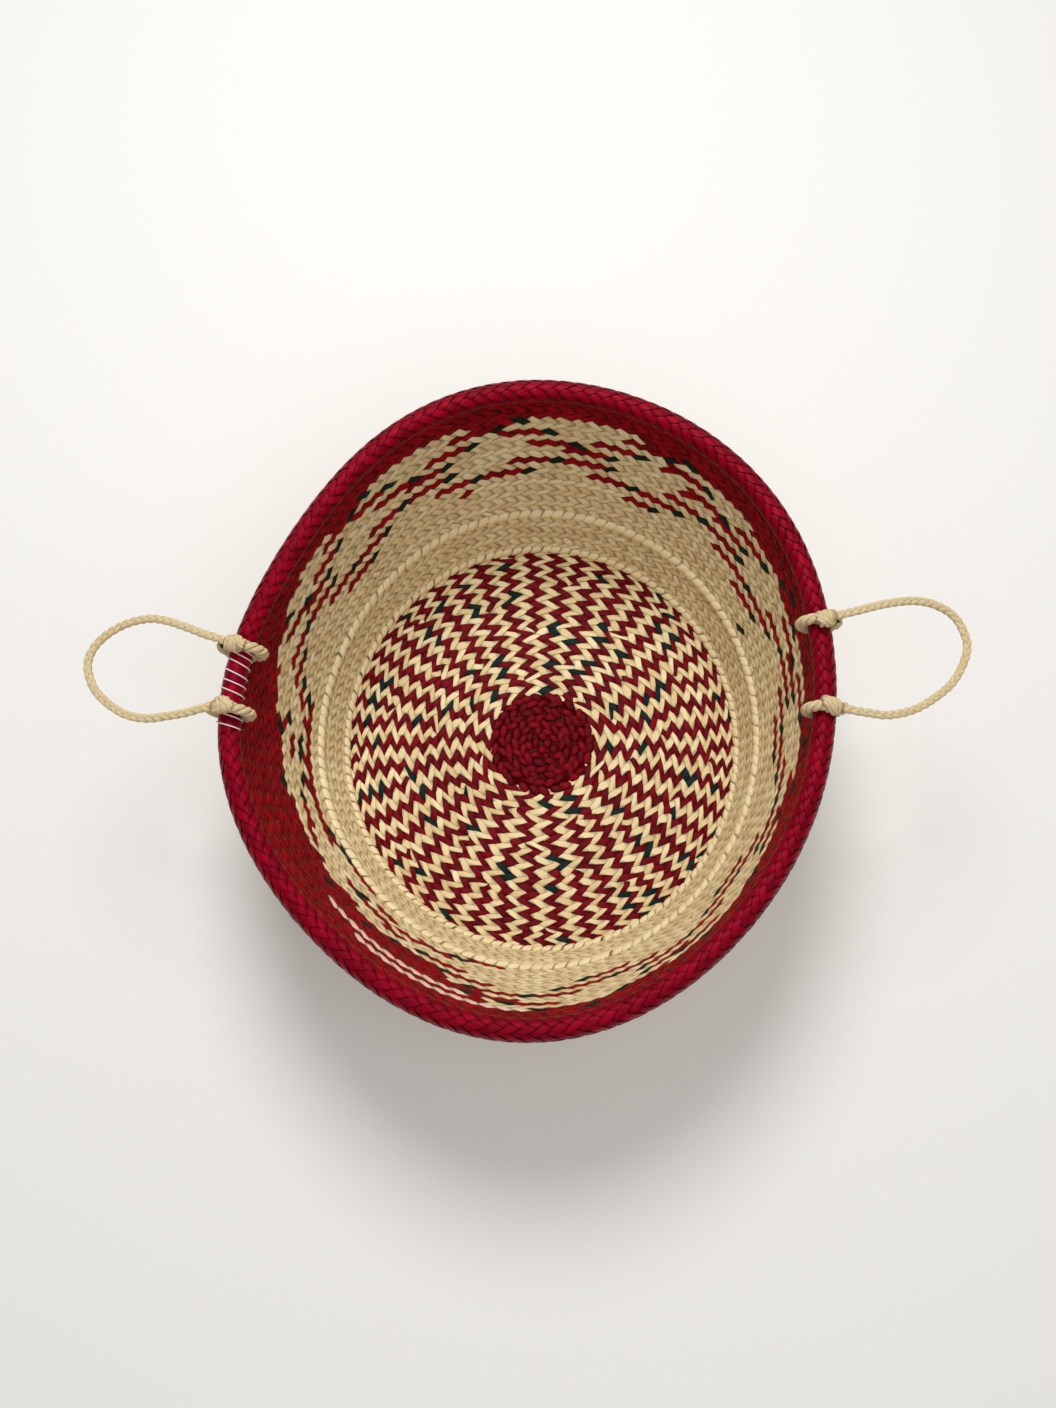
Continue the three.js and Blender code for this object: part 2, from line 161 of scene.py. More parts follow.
def addObject(name, data):
    added = bpy.data.objects.new(name, data)
    bpy.context.scene.collection.objects.link(added)
    return added


# The tone and the dye of each ring.
def ringLooks(count, tone, dyeName):
    return {"tone": np.broadcast_to(tone, count), "dye": np.full(count, dyes[dyeName])}


# The piece takes its mesh's name, and replaces the model's nodes that are named last.
def addPiece(mesh, material, slot, *replaced, body="basket"):
    piece = addObject(mesh.name, mesh)
    mesh.materials.append(material)
    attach(piece, body)
    if replaced:
        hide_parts(*replaced)
    return piece


# follow for runs of rings of these lengths.
def chain(lengths, closed=False):
    follow = []
    for length in lengths:
        start = len(follow)
        follow += list(range(start + 1, start + length)) + [start if closed else -1]
    return np.array(follow)


def unit(v):
    return v / np.maximum(np.linalg.norm(v, axis=-1, keepdims=True), 1e-12)


# A direction, turned until it is square to another one.
def squareTo(direction, other):
    return unit(direction - other * np.sum(direction * other, axis=-1, keepdims=True))


# Tangent, side and top directions at each point of a path.
def framesAlong(path, up=(0, 0, 1)):
    ahead = np.roll(path, -1, axis=0) - np.roll(path, 1, axis=0)
    ahead[0], ahead[-1] = path[1] - path[0], path[-1] - path[-2]
    tangent = unit(ahead)
    top = squareTo(np.broadcast_to(np.array(up, float), tangent.shape), tangent)
    return tangent, np.cross(tangent, top), top


# Rings with an oval section round each point. width and thickness can vary along the path.
def tubeRings(path, width, thickness, sides, sideways, top):
    turn = 2 * pi * np.arange(sides) / sides
    width, thickness = [np.broadcast_to(size, len(path))[:, None, None] for size in (width, thickness)]
    across = sideways[:, None] * cos(turn)[None, :, None] * width / 2
    upwards = top[:, None] * sin(turn)[None, :, None] * thickness / 2
    return path[:, None] + across + upwards


def lengthAlong(path):
    return np.concatenate([[0], np.cumsum(np.linalg.norm(np.diff(path, axis=0), axis=1))])


# Camera: the photo's place, looking down into the basket

camera = {"place": (-0.010, -0.224318, 1.01881), "tilt": 14.0, "lens": 36.776}


def addCamera():
    data = bpy.data.cameras.new("camera")
    data.lens = camera["lens"]
    data.sensor_width = 36
    eye = addObject("camera", data)
    eye.location = camera["place"]
    eye.rotation_euler = (radians(camera["tilt"]), 0, 0)
    bpy.context.scene.camera = eye


addCamera()
print("camera placed")

# Shader groups

# A colour written as it looks, 0 to 255, as the shader needs it.
def linear(red, green, blue):
    parts = [c / 255 for c in (red, green, blue)]
    return tuple(c / 12.92 if c <= 0.04045 else ((c + 0.055) / 1.055) ** 2.4 for c in parts) + (1.0,)


def startGroup(name, inputs, outputs):
    group = bpy.data.node_groups.new(name, "ShaderNodeTree")
    for socketName, kind, default in inputs:
        socket = group.interface.new_socket(socketName, in_out="INPUT", socket_type="NodeSocket" + kind)
        if default is not None:
            socket.default_value = default
    for socketName, kind in outputs:
        group.interface.new_socket(socketName, in_out="OUTPUT", socket_type="NodeSocket" + kind)
    return group, group.nodes.new("NodeGroupInput"), group.nodes.new("NodeGroupOutput")


# A node's output is linked to the socket, and a plain value is set on it.
def give(tree, value, socket):
    if isinstance(value, bpy.types.NodeSocket):
        tree.links.new(value, socket)
    else:
        socket.default_value = value


def mathNode(tree, operation, *values, clamp=False):
    node = tree.nodes.new("ShaderNodeMath")
    node.operation = operation
    node.use_clamp = clamp
    for value, socket in zip(values, node.inputs):
        give(tree, value, socket)
    return node.outputs[0]


def times(tree, first, second):
    return mathNode(tree, "MULTIPLY", first, second)


def plus(tree, first, second):
    return mathNode(tree, "ADD", first, second)


# Values that vary over the surface, each times its share, added up and kept between 0 and 1.
def weighted(tree, *terms):
    total = 0.0
    for value, share in terms:
        total = mathNode(tree, "ADD", times(tree, value, share), total, clamp=True)
    return total


def mixColour(tree, share, first, second):
    node = tree.nodes.new("ShaderNodeMix")
    node.data_type = "RGBA"
    for key, value in ((0, share), (6, first), (7, second)):
        give(tree, value, node.inputs[key])
    return node.outputs[2]


def noiseNode(tree, vector, scale, detail=2.0, roughness=0.5):
    node = tree.nodes.new("ShaderNodeTexNoise")
    for key, value in (("Vector", vector), ("Scale", scale), ("Detail", detail), ("Roughness", roughness)):
        give(tree, value, node.inputs[key])
    return node.outputs["Fac"]


def stretched(tree, vector, scale):
    node = tree.nodes.new("ShaderNodeMapping")
    node.inputs["Scale"].default_value = scale
    tree.links.new(vector, node.inputs["Vector"])
    return node.outputs["Vector"]


def remap(tree, value, low, high, toLow=0.0, toHigh=1.0):
    node = tree.nodes.new("ShaderNodeMapRange")
    for socket, given in zip(node.inputs, (value, low, high, toLow, toHigh)):
        give(tree, given, socket)
    return node.outputs["Result"]


veins = {"stretch": (60, 1, 1), "fineStretch": (1, 3, 1), "toneShift": 37.0, "contrast": (0.3, 0.7),
         "blotchScale": 90.0, "crumpleScale": 420.0, "crumpleShare": 1.6}


# Lengthwise veins of a palm leaf strip, and the crumpling of its surface.
def makeLeafGrain():
    group, given, out = startGroup(
        "leafGrain",
        [("Strip", "Vector", None), ("Position", "Vector", None), ("Tone", "Float", 0.5),
         ("Veins", "Float", 11.0)],
        [("Streak", "Float"), ("Blotch", "Float"), ("Height", "Float")],
    )
    shifted = group.nodes.new("ShaderNodeCombineXYZ")
    group.links.new(times(group, given.outputs["Tone"], veins["toneShift"]), shifted.inputs[2])
    moved = group.nodes.new("ShaderNodeVectorMath")
    moved.operation = "ADD"
    group.links.new(stretched(group, given.outputs["Strip"], veins["stretch"]), moved.inputs[0])
    group.links.new(shifted.outputs[0], moved.inputs[1])
    fine = stretched(group, moved.outputs[0], veins["fineStretch"])
    fine = noiseNode(group, fine, given.outputs["Veins"], 3.0, 0.6)
    blotch = noiseNode(group, given.outputs["Position"], veins["blotchScale"], 3.0)
    crumple = noiseNode(group, given.outputs["Position"], veins["crumpleScale"])
    streak = remap(group, fine, *veins["contrast"])
    group.links.new(streak, out.inputs["Streak"])
    group.links.new(blotch, out.inputs["Blotch"])
    height = plus(group, streak, times(group, crumple, veins["crumpleShare"]))
    group.links.new(height, out.inputs["Height"])
    return group


leafGrain = makeLeafGrain()


def startMaterial(name, specular):
    material = bpy.data.materials.new(name)
    material.use_nodes = True
    tree = material.node_tree
    shader = tree.nodes["Principled BSDF"]
    shader.inputs["Specular IOR Level"].default_value = specular
    return material, tree, shader


def attribute(tree, name):
    node = tree.nodes.new("ShaderNodeAttribute")
    node.attribute_name = name
    return node.outputs["Fac"]


def objectPlace(tree):
    return tree.nodes.new("ShaderNodeTexCoord").outputs["Object"]


def grainOf(tree, tone, veinScale):
    node = tree.nodes.new("ShaderNodeGroup")
    node.node_tree = leafGrain
    uv = tree.nodes.new("ShaderNodeUVMap")
    uv.uv_map = "strip"
    for socket, value in zip(node.inputs, (uv.outputs["UV"], objectPlace(tree), tone, veinScale)):
        give(tree, value, socket)
    return node.outputs


def dressShader(tree, shader, colour, roughness, height, bump, distance):
    tree.links.new(colour, shader.inputs["Base Color"])
    tree.links.new(roughness, shader.inputs["Roughness"])
    node = tree.nodes.new("ShaderNodeBump")
    node.inputs["Strength"].default_value = bump
    node.inputs["Distance"].default_value = distance
    tree.links.new(height, node.inputs["Height"])
    tree.links.new(node.outputs["Normal"], shader.inputs["Normal"])


# The dye of a strip, as its attribute holds it. The bright one is natural too.
dyes = {"natural": 0.0, "bright": -0.25, "pale": -1.0, "deepCrimson": 0.8, "crimson": 1.0, "green": 2.0}
leaf = {
    "straw": (linear(208, 172, 114), linear(255, 240, 194)),
    "pale": linear(244, 212, 190),
    "crimson": (linear(64, 0, 9), linear(176, 0, 26)),
    "plaitRed": (linear(74, 0, 12), linear(150, 0, 28)),
    "green": (linear(6, 18, 18), linear(24, 48, 45)),
    "redShine": (1.0, 0.12, 0.2, 1.0),
    "toneShare": 0.55, "streakShare": 0.3, "blotchShare": 0.25,  # of what makes a strip dark or light
    "redRange": (0.5, 0.95), "redLift": (0.0, 0.05),  # from deep crimson to crimson
    "strawRoughness": 0.55, "crimsonRoughness": 0.42, "blotchRoughness": 0.12,
    "shadow": 0.35, "strawShadow": 0.5,  # how much light is left between strips
    "shadowDepth": 0.16, "veins": 11.0, "bumpDistance": 0.0003,
}


def leafMaterial(name, dyed, specular, tint=(1, 1, 1, 1), gloss=0.0, bump=0.35):
    material, tree, shader = startMaterial(name, specular)
    shader.inputs["Specular Tint"].default_value = tint
    tone, dye = attribute(tree, "tone"), attribute(tree, "dye")
    grain = grainOf(tree, tone, leaf["veins"])
    shade = weighted(tree, (tone, leaf["toneShare"]), (grain["Streak"], leaf["streakShare"]),
                     (grain["Blotch"], leaf["blotchShare"]))
    isPale = mathNode(tree, "LESS_THAN", dye, -0.5)
    straw = mixColour(tree, isPale, mixColour(tree, shade, *leaf["straw"]), leaf["pale"])
    full = remap(tree, dye, dyes["deepCrimson"], dyes["crimson"], *leaf["redRange"])
    lift = remap(tree, dye, dyes["deepCrimson"], dyes["crimson"], *leaf["redLift"])
    crimson = mixColour(tree, plus(tree, times(tree, shade, full), lift), *leaf[dyed])
    green = mixColour(tree, shade, *leaf["green"])
    isDyed = mathNode(tree, "GREATER_THAN", dye, 0.5)
    isGreen = mathNode(tree, "GREATER_THAN", dye, 1.5)
    colour = mixColour(tree, isGreen, mixColour(tree, isDyed, straw, crimson), green)
    # Painted shade: the colour is darkened between strips, at the ends of floats and in other crevices, by
    # the attribute of how open each point is, down to the darkest share left for straw or dyed leaf
    darkest = remap(tree, isDyed, 0.0, 1.0, leaf["strawShadow"], leaf["shadow"])
    lit = remap(tree, attribute(tree, "paintedLitShare"), 0.0, leaf["shadowDepth"])
    lit = plus(tree, darkest, times(tree, lit, mathNode(tree, "SUBTRACT", 1.0, darkest)))
    dimmed = tree.nodes.new("ShaderNodeVectorMath")
    dimmed.operation = "SCALE"
    tree.links.new(colour, dimmed.inputs[0])
    tree.links.new(lit, dimmed.inputs["Scale"])
    rough = times(tree, isDyed, leaf["crimsonRoughness"] - leaf["strawRoughness"])
    rough = plus(tree, rough, leaf["strawRoughness"] - gloss)
    rough = plus(tree, rough, times(tree, grain["Blotch"], leaf["blotchRoughness"]))
    dressShader(tree, shader, dimmed.outputs["Vector"], rough, grain["Height"], bump, leaf["bumpDistance"])
    return material


weaveLeaf = leafMaterial("palmLeafWeave", "crimson", 0.08)
plaitLeaf = leafMaterial("glossyPlaitLeaf", "plaitRed", 0.32, leaf["redShine"], gloss=0.06, bump=0.2)

# The groove colour is painted shade between the strands; open spans the attribute from the bottom of a groove
# to where the light falls on it
ropeLook = {
    "specular": 0.35, "veins": 26.0, "shares": (("Streak", 0.7), ("Blotch", 0.3)),
    "fibre": (linear(250, 204, 130), linear(255, 248, 210)), "paintedGrooveShade": linear(132, 76, 28),
    "open": (0.2, 0.9), "roughness": (0.6, 0.78), "bump": 0.8, "bumpDistance": 0.0006,
}


def ropeMaterial():
    material, tree, shader = startMaterial("palmRope", ropeLook["specular"])
    tone, paintedLitShare = attribute(tree, "tone"), attribute(tree, "paintedLitShare")
    grain = grainOf(tree, tone, ropeLook["veins"])
    shade = weighted(tree, *[(grain[key], share) for key, share in ropeLook["shares"]])
    bright = mixColour(tree, shade, *ropeLook["fibre"])
    # Painted shade: the colour darkens towards the groove colour down between the strands
    colour = mixColour(tree, remap(tree, paintedLitShare, *ropeLook["open"]), ropeLook["paintedGrooveShade"], bright)
    rough = remap(tree, grain["Streak"], 0.0, 1.0, *ropeLook["roughness"])
    dressShader(tree, shader, colour, rough, grain["Height"], ropeLook["bump"], ropeLook["bumpDistance"])
    return material


cloudyLooks = {
    "whiteThread": {"specular": 0.3, "colours": (linear(222, 184, 190), linear(250, 236, 236)),
                    "scale": 600.0, "detail": 2.0, "roughness": (0.5, 0.7), "bump": 0.4},
    "stripEndBundle": {"specular": 0.2, "colours": leaf["straw"],
                       "scale": 300.0, "detail": 3.0, "roughness": (0.6, 0.8), "bump": 0.0},
}


def cloudyMaterial(name):
    look = cloudyLooks[name]
    material, tree, shader = startMaterial(name, look["specular"])
    place = objectPlace(tree)
    cloudy = noiseNode(tree, place, look["scale"], look["detail"])
    rough = remap(tree, cloudy, 0.0, 1.0, *look["roughness"])
    height = noiseNode(tree, place, 2500.0)
    dressShader(tree, shader, mixColour(tree, cloudy, *look["colours"]), rough, height, look["bump"], 0.0002)
    return material


ropeFibre = ropeMaterial()
threadCotton = cloudyMaterial("whiteThread")

# Handles: a rope loop on each side, its two knots, and an eye from each knot round the rim

# Eyes with their angles round the rim, the radius of what they lie on, and the loop's route in mm from
# the middle of the hinge line: out, along the rim and up
handles = {
    "left": {
        "seat": 0.0085, "eyes": [("back", 172.3), ("front", 184.1)], "yaw": 12,
        "route": [(24, -24.4, 8.8), (36, -27.6, 6.5), (49.8, -30.6, 3.4), (61.2, -31.2, 0.6),
                  (77.2, -26.3, -3.4), (89.4, -17.3, -6.6), (95.5, -8.1, -8.2), (96.5, 1.9, -8.4),
                  (89.9, 15.1, -6.8), (79.6, 23.9, -4.2), (63.6, 31.3, -0.2), (49, 32.6, 3.4),
                  (36, 29.8, 6.4), (24, 26.4, 8.8)],
    },
    "right": {
        "seat": 0.007, "eyes": [("front", -4.1), ("back", 14)], "yaw": 14,
        "route": [(24, -32.6, 8.8), (36.5, -33.8, 6.4), (55.2, -29.4, 2.2), (71.8, -19.6, -1.9),
                  (81.9, -11, -4.5), (90.4, 1.6, -7), (94.2, 12.3, -8), (93.6, 20.1, -7.8),
                  (87.4, 32.1, -6), (75.2, 39.1, -2.8), (61.3, 41, 0.6), (42.4, 38.1, 5.2),
                  (30, 34.8, 7.6), (22, 32.4, 9.2)],
    },
}
rope = {
    "loop": 0.0056, "eye": 0.007, "slack": 0.0009, "seam": 0.0003, "step": 0.0009,
    "plaitPeriod": 0.0155, "sway": 0.0011, "heave": 0.0007, "lean": 0.5, "strand": (0.0034, 0.0033),
    "eyeTwist": 0.0165, "ply": 0.46, "plyWidth": 2.25, "plyFlat": 0.86,
    "eyeFrom": 92, "eyeTo": 384,  # degrees round the rim's tube, up from straight out
}
knot = {
    "length": 0.014, "up": 80, "core": 0.0058, "coreSwell": 0.0016, "reach": 0.0052, "sway": 0.0008,
    "ripple": 0.00025,
    # two strands wound round the doubled rope: offset along it, distance from its middle, width, thickness
    "wraps": [(-0.0012, 0.0039, 0.0026, 0.0029), (0.0012, 0.0038, 0.0025, 0.0027)],
    "wrapSpan": 0.62, "wrapTurns": 2.2, "wrapTuck": 0.0006,
    # and two that cross over them: where they start round it, rise, width, thickness
    "crossings": [(0.17, 0.0021, 0.0027, 0.0024), (0.26, 0.0019, 0.0026, 0.0023)],
    "crossSpan": 0.98, "crossTurns": 0.42, "crossDistance": 0.0032,
}
lashing = {
    "from": 170.0, "to": 189.0, "wrapTube": 0.0073, "thread": 0.00085, "turns": 9, "pitch": 0.006,
    "sway": 0.0022, "crowding": 1.25, "unevenness": 0.012,
}


# Middle of the hinge line, the turn that faces out there, and half the distance between the eyes.
def handleFrame(handle):
    ends = []
    for _, degrees in handle["eyes"]:
        theta = radians(degrees)
        ends.append(around(np.array(theta), rimLine(theta), basket["rimHeight"]))
    chord = ends[1] - ends[0]
    facing = np.arctan2(-chord[0], chord[1])
    return (ends[0] + ends[1]) / 2, facing, np.linalg.norm(chord) / 2


def turnZ(angle):
    c, s = cos(angle), sin(angle)
    return np.array([[c, -s, 0], [s, c, 0], [0, 0, 1]])


def turnY(angle):
    c, s = cos(angle), sin(angle)
    return np.array([[c, 0, s], [0, 1, 0], [-s, 0, c]])


def eyeRing(handle):
    return handle["seat"] + rope["slack"] + rope["eye"] / 2


def knotPose(handle, reach, side):
    ring, up = eyeRing(handle), radians(knot["up"])
    centre = np.array([ring * cos(up), side * reach, ring * sin(up)])
    return centre, turnZ(side * radians(handle["yaw"])) @ turnY(pi / 2 - up)


def toWorld(points, middle, facing):
    return points @ turnZ(facing).T + middle


# Presses points out to a round seat about the hinge line, so that a knot lies on the rim.
def pressedOn(points, middle, facing, seat):
    local = (points - middle) @ turnZ(facing)
    apart = np.maximum(np.hypot(local[..., 0], local[..., 2]), 1e-6)
    local[..., [0, 2]] *= np.maximum(1.0, seat / apart)[..., None]
    return toWorld(local, middle, facing)


# A centripetal Catmull-Rom curve through the points, evenly spaced.
def smoothCurve(points, step):
    points = np.asarray(points, float)
    ends = np.concatenate([[2 * points[0] - points[1]], points, [2 * points[-1] - points[-2]]])
    fine = []
    for i in range(len(points) - 1):
        p0, p1, p2, p3 = ends[i:i + 4]
        t1 = np.linalg.norm(p1 - p0) ** 0.5
        t2 = t1 + np.linalg.norm(p2 - p1) ** 0.5
        t3 = t2 + np.linalg.norm(p3 - p2) ** 0.5
        t = np.linspace(t1, t2, 24, endpoint=False)[:, None]
        a1, a2 = (t1 - t) / t1 * p0 + t / t1 * p1, (t2 - t) / (t2 - t1) * p1 + (t - t1) / (t2 - t1) * p2
        a3 = (t3 - t) / (t3 - t2) * p2 + (t - t2) / (t3 - t2) * p3
        b1 = (t2 - t) / t2 * a1 + t / t2 * a2
        b2 = (t3 - t) / (t3 - t1) * a2 + (t - t1) / (t3 - t1) * a3
        fine.append((t2 - t) / (t2 - t1) * b1 + (t - t1) / (t2 - t1) * b2)
    fine = np.concatenate(fine + [points[-1:]])
    along = lengthAlong(fine)
    even = np.linspace(0, along[-1], int(along[-1] / step) + 1)
    return np.stack([np.interp(even, along, fine[:, k]) for k in range(3)], axis=-1)


# The rings of a strand, whose section stands square to its line and faces out.
def strandRings(line, out, width, thickness):
    tangent = framesAlong(line)[0]
    out = squareTo(out, tangent)
    return tubeRings(line, width, thickness, 10, np.cross(tangent, out), out)


# One mesh of several strands, each with its rings, its length along itself and its tone. lines are the
# centre lines that they wind round, and reach is how far out they go.
def strandMesh(name, strands, lines, reach):
    ringSets, along, tones = zip(*strands)
    counts = [len(rings) for rings in ringSets]
    rings = np.concatenate(ringSets)
    away = np.linalg.norm(rings - np.concatenate(lines)[:, None], axis=-1)
    paintedLitShare = np.clip((away / reach - 0.35) / 0.45, 0, 1)  # 0 in the grooves, 1 on the outside: the rope's material paints shade where it is low
    return ringMesh(name, rings, chain(counts), {"tone": np.repeat(tones, counts)}, np.concatenate(along),
                    paintedLitShare=paintedLitShare)


# A three-strand plait along the path.
def plaitedRope(name, path):
    _, sideways, top = framesAlong(path)
    along = lengthAlong(path)
    strands = []
    for k in range(3):
        phase = 2 * pi * (along / rope["plaitPeriod"] + k / 3)[:, None]
        line = path + sideways * (rope["sway"] * sin(phase)) + top * (rope["heave"] * sin(2 * phase))
        _, across, upwards = framesAlong(line)
        lean = rope["lean"] * cos(phase)
        sideDirection = across * cos(lean) + upwards * sin(lean)
        topDirection = upwards * cos(lean) - across * sin(lean)
        rings = tubeRings(line, *rope["strand"], 10, sideDirection, topDirection)
        strands.append((rings, lengthAlong(line) + 0.3 * k, 0.2 + 0.3 * k))
    return strandMesh(name, strands, [path] * 3, rope["loop"] / 2)


# Three plies wound round each other along the path.
def twistedRope(name, path, up, turned):
    _, sideways, top = framesAlong(path, up)
    along, half = lengthAlong(path), rope["eye"] / 2
    ply = half * rope["ply"]
    flat = ply * rope["plyFlat"]
    strands = []
    for k in range(3):
        phase = (2 * pi * (along / rope["eyeTwist"] + k / 3) + turned)[:, None]
        out = sideways * cos(phase) + top * sin(phase)
        line = path + out * (half - flat)
        rings = strandRings(line, out, rope["plyWidth"] * ply, 2 * flat)
        strands.append((rings, lengthAlong(line) + 0.3 * k, 0.15 + 0.5 * k))
    return strandMesh(name, strands, [path] * 3, half)


# Two strands wound round the doubled rope, and two more that cross over them.
def knotMesh(name, centre, turn, seed, seat):
    length = knot["length"]
    rng = np.random.default_rng(seed)
    strands, lines, courses = [], [], []
    axis = turn @ np.array([1.0, 0, 0])
    spin, sway = rng.random(2)
    share = np.linspace(0, 1, 90)
    for offset, distance, width, thickness in knot["wraps"]:
        x = length * knot["wrapSpan"] * (share - 0.5) + offset
        ring = distance - knot["wrapTuck"] * np.abs(2 * share - 1) ** 6
        courses.append((x, knot["wrapTurns"] * share + spin, ring, width, thickness))
    share = np.linspace(0, 1, 30)
    for start, rise, width, thickness in knot["crossings"]:
        x = length * knot["crossSpan"] * (share - 0.5)
        ring = knot["crossDistance"] + rise * sin(pi * share)
        courses.append((x, start + knot["crossTurns"] * share, ring, width, thickness))
    for number, (x, turns, ring, width, thickness) in enumerate(courses):
        phase = 2 * pi * turns
        x = x + knot["sway"] * sin(phase + 6 * sway)
        ring = ring + knot["ripple"] * sin(3 * phase + 6 * spin)
        local = np.stack([x, ring * cos(phase), ring * sin(phase)], axis=-1)
        line = local @ turn.T + centre
        middle = centre + axis * x[:, None]
        rings = strandRings(line, unit(line - middle), width, thickness)
        strands.append((pressedOn(rings, *seat), lengthAlong(line) + 0.2 * number, 0.25 * number))
        lines.append(middle)
    x = np.linspace(-length / 2, length / 2, 12)
    line = centre + axis * x[:, None]
    _, sideways, top = framesAlong(line)
    bulge = knot["core"] + knot["coreSwell"] * sin(pi * np.linspace(0, 1, 12))
    rings = tubeRings(line, bulge, bulge, 10, sideways, top)
    strands.append((pressedOn(rings, *seat), x + 0.5, 0.3))
    lines.append(line)
    return strandMesh(name, strands, lines, knot["reach"])


def addHandle(side, handle, seed):
    middle, facing, reach = handleFrame(handle)
    body = side + "_handle"
    mouth = knot["length"] / 2 + rope["seam"]
    leave = mouth + rope["loop"]
    ring = eyeRing(handle)
    seat = (middle, facing, ring - rope["eye"] / 2)
    angle = radians(np.linspace(rope["eyeFrom"], rope["eyeTo"], 110))
    up = turnZ(facing) @ np.array([0, 1.0, 0])
    route = [np.array(point) * 0.001 for point in handle["route"]]
    for sign, (eyeName, _) in zip((-1, 1), handle["eyes"]):
        centre, turn = knotPose(handle, reach, sign)
        out = turn @ np.array([1.0, 0, 0])
        label = f"{side}_{eyeName}"
        place = toWorld(centre, middle, facing)
        mesh = knotMesh(label + "_knotWraps", place, turnZ(facing) @ turn, seed + sign, seat)
        addPiece(mesh, ropeFibre, "palm_rope", label + "_knot", body=body)
        arc = np.stack([ring * cos(angle), sign * reach + 0 * angle, ring * sin(angle)], axis=-1)
        mesh = twistedRope(label + "_eyeRope", toWorld(arc, middle, facing), up, seed)
        addPiece(mesh, ropeFibre, "palm_rope", label + "_eye", body=body)
        if sign < 0:
            start = [centre + out * mouth, centre + out * leave]
        else:
            route = start + route + [centre + out * leave, centre + out * mouth]
    path = toWorld(smoothCurve(route, rope["step"]), middle, facing)
    mesh = plaitedRope(side + "_loopRope", path)
    loop = addPiece(mesh, ropeFibre, "palm_rope", side + "_handle_rope", body=body)
    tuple(path[0])
    print(f"{side} handle: {lengthAlong(path)[-1] * 1000:.1f} mm of rope in its loop")


addHandle("left", handles["left"], 3)
addHandle("right", handles["right"], 8)

# Weave: crossing strips of two families. In family a the angle grows with the level, in family b it
# falls. Two levels make a row of floats, and the family on top changes from row to row.

# reach is how far a strip rises and dives, shingle how much one of its edges is lifted, gap the space to
# the next strip as a share of its own width, and steps are where its rings are within a crossing.
weave = {
    "reach": 0.00046, "thickness": 0.0005, "crown": 0.0001, "shingle": 0.0001, "gap": -0.02,
    "looseness": 0.12, "jitter": 0.08, "roundness": 14, "steps": (0.0, 0.08, 0.92, 1.0),
}
floats = {"tilt": 0.00022, "stripTone": 0.35, "brightTone": 0.95, "breakLength": 0.05, "familyShift": 3.0}
goldenTurn = 2.39996  # spreads the places where strips are added


# Rows of crossings. Where a row has more strips than the last, new ones start in pairs at one gap.
def growLattice(counts, seed, jitter, turned=0.0):
    rng = np.random.default_rng(seed)
    a, b = list(range(counts[0])), list(range(counts[0]))
    parityA, parityB = [i % 2 for i in a], [i % 2 for i in b]
    angle = 2 * pi * np.arange(counts[0]) / counts[0] + turned
    direction = 0.0
    rows = []
    for level, count in enumerate(counts):
        ahead = np.append(angle[1:], angle[0] + 2 * pi)
        gap = (angle + ahead) / 2
        wanted = (counts[min(level + 1, len(counts) - 1)] - len(a)) // 2
        opened = set()
        while len(opened) < wanted:
            direction = (direction + goldenTurn) % (2 * pi)
            opened.add(int(np.argmin(np.abs((gap - direction + pi) % (2 * pi) - pi))))
        first, nextA, nextB, nextAngle = [], [], [], []
        for m, (strip, place) in enumerate(zip(a, gap)):
            first.append(len(nextA))
            other = b[(m + 1) % len(b)]
            if m in opened:
                fresh, freshB = len(parityA), len(parityB)
                parityA += [1 - parityA[strip], parityA[strip]]
                parityB += [parityB[other], 1 - parityB[other]]
                nextA += [strip, fresh, fresh + 1]
                nextB += [freshB, freshB + 1, other]
                width = 0.3 * (ahead[m] - angle[m])
                nextAngle += [place - width, place, place + width]
            else:
                nextA.append(strip)
                nextB.append(other)
                nextAngle.append(place)
        wobble = rng.normal(0, jitter, len(gap)) * (ahead - angle)
        rows.append({"a": np.array(a), "b": np.array(b), "gap": gap + wobble, "first": first,
                     "rise": rng.normal(0, jitter, len(gap))})
        a, b, angle = nextA, nextB, np.array(nextAngle)
        for _ in range(4):  # evens out the angles
            before = np.append(angle[-1] - 2 * pi, angle[:-1])
            ahead = np.append(angle[1:], angle[0] + 2 * pi)
            angle = angle + 0.25 * (before + ahead - 2 * angle)
    return rows, np.array(parityA), np.array(parityB)


# Each crossing's level, its two strips, and the angle and level of its bottom, right, left and top corner.
def latticeCells(rows, levels):
    found = []
    for level in levels:
        row, below, above = rows[level], rows[level - 1], rows[level + 1]
        count, full = len(row["a"]), 2 * pi
        parent = np.zeros(count, int)
        for m, start in enumerate(below["first"]):
            stop = below["first"][m + 1] if m + 1 < len(below["first"]) else count
            parent[start:stop] = m
        firstChild = np.array(row["first"])
        topIndex = firstChild - 1
        gap, rise = row["gap"], row["rise"]
        left = np.append(gap[-1] - full, gap[:-1])
        leftRise = np.append(rise[-1], rise[:-1])
        top = above["gap"][topIndex] - full * (topIndex < 0)
        corners = np.stack([below["gap"][parent], gap, left, top], axis=-1)
        lift = np.stack([below["rise"][parent] - 1, rise, leftRise, above["rise"][topIndex] + 1], axis=-1)
        found.append((np.full(count, level), row["a"], row["b"], corners, lift + level))
    return [np.concatenate(column) for column in zip(*found)]


